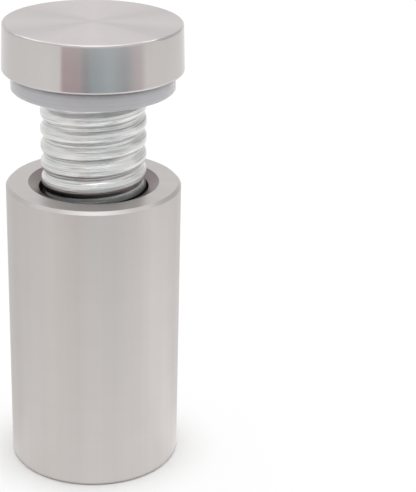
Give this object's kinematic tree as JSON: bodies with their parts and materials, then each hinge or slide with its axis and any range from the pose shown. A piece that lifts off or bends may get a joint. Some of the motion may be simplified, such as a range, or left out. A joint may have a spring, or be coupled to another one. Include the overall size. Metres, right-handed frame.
{
  "type": "glass panel standoff",
  "caption": "Round wall standoff for a glass panel: a short tube screwed to the wall, a coarse threaded stud, a clear washer and a flat cap that clamps the panel.",
  "frame": {"origin": "centre of the barrel's foot, on the face that meets the wall", "axes": "+Z along the axis, from the wall towards the cap; +X and +Y are alike"},
  "size_m": [0.0254, 0.0254, 0.0663],
  "materials": {
    "barrel_steel": "fine satin stainless",
    "cap_steel": "satin stainless, turned face",
    "zinc_plate": "bright zinc plate on steel",
    "clear_plastic": "clear, slightly blue-grey plastic"
  },
  "bodies": {
    "barrel": {"barrel": "barrel_steel"},
    "washer": {"washer": "clear_plastic"},
    "cap_and_stud": {"cap": "cap_steel", "threaded_stud": "zinc_plate"}
  },
  "joints": [
    {"name": "screw_travel", "type": "slide", "parent": "barrel", "child": "washer", "axis": [0, 0, 1], "range_m": [-0.0139, 0.00625]},
    {"name": "screw_turn", "type": "hinge", "parent": "washer", "child": "cap_and_stud", "pos_m": [0, 0, 0.0596], "axis": [0, 0, 1], "range_deg": [-2001.7, 900.1]}
  ],
  "couplings": [
    {"joint": "screw_turn", "follows": "screw_travel", "rad_per_m": 2513.3}
  ]
}
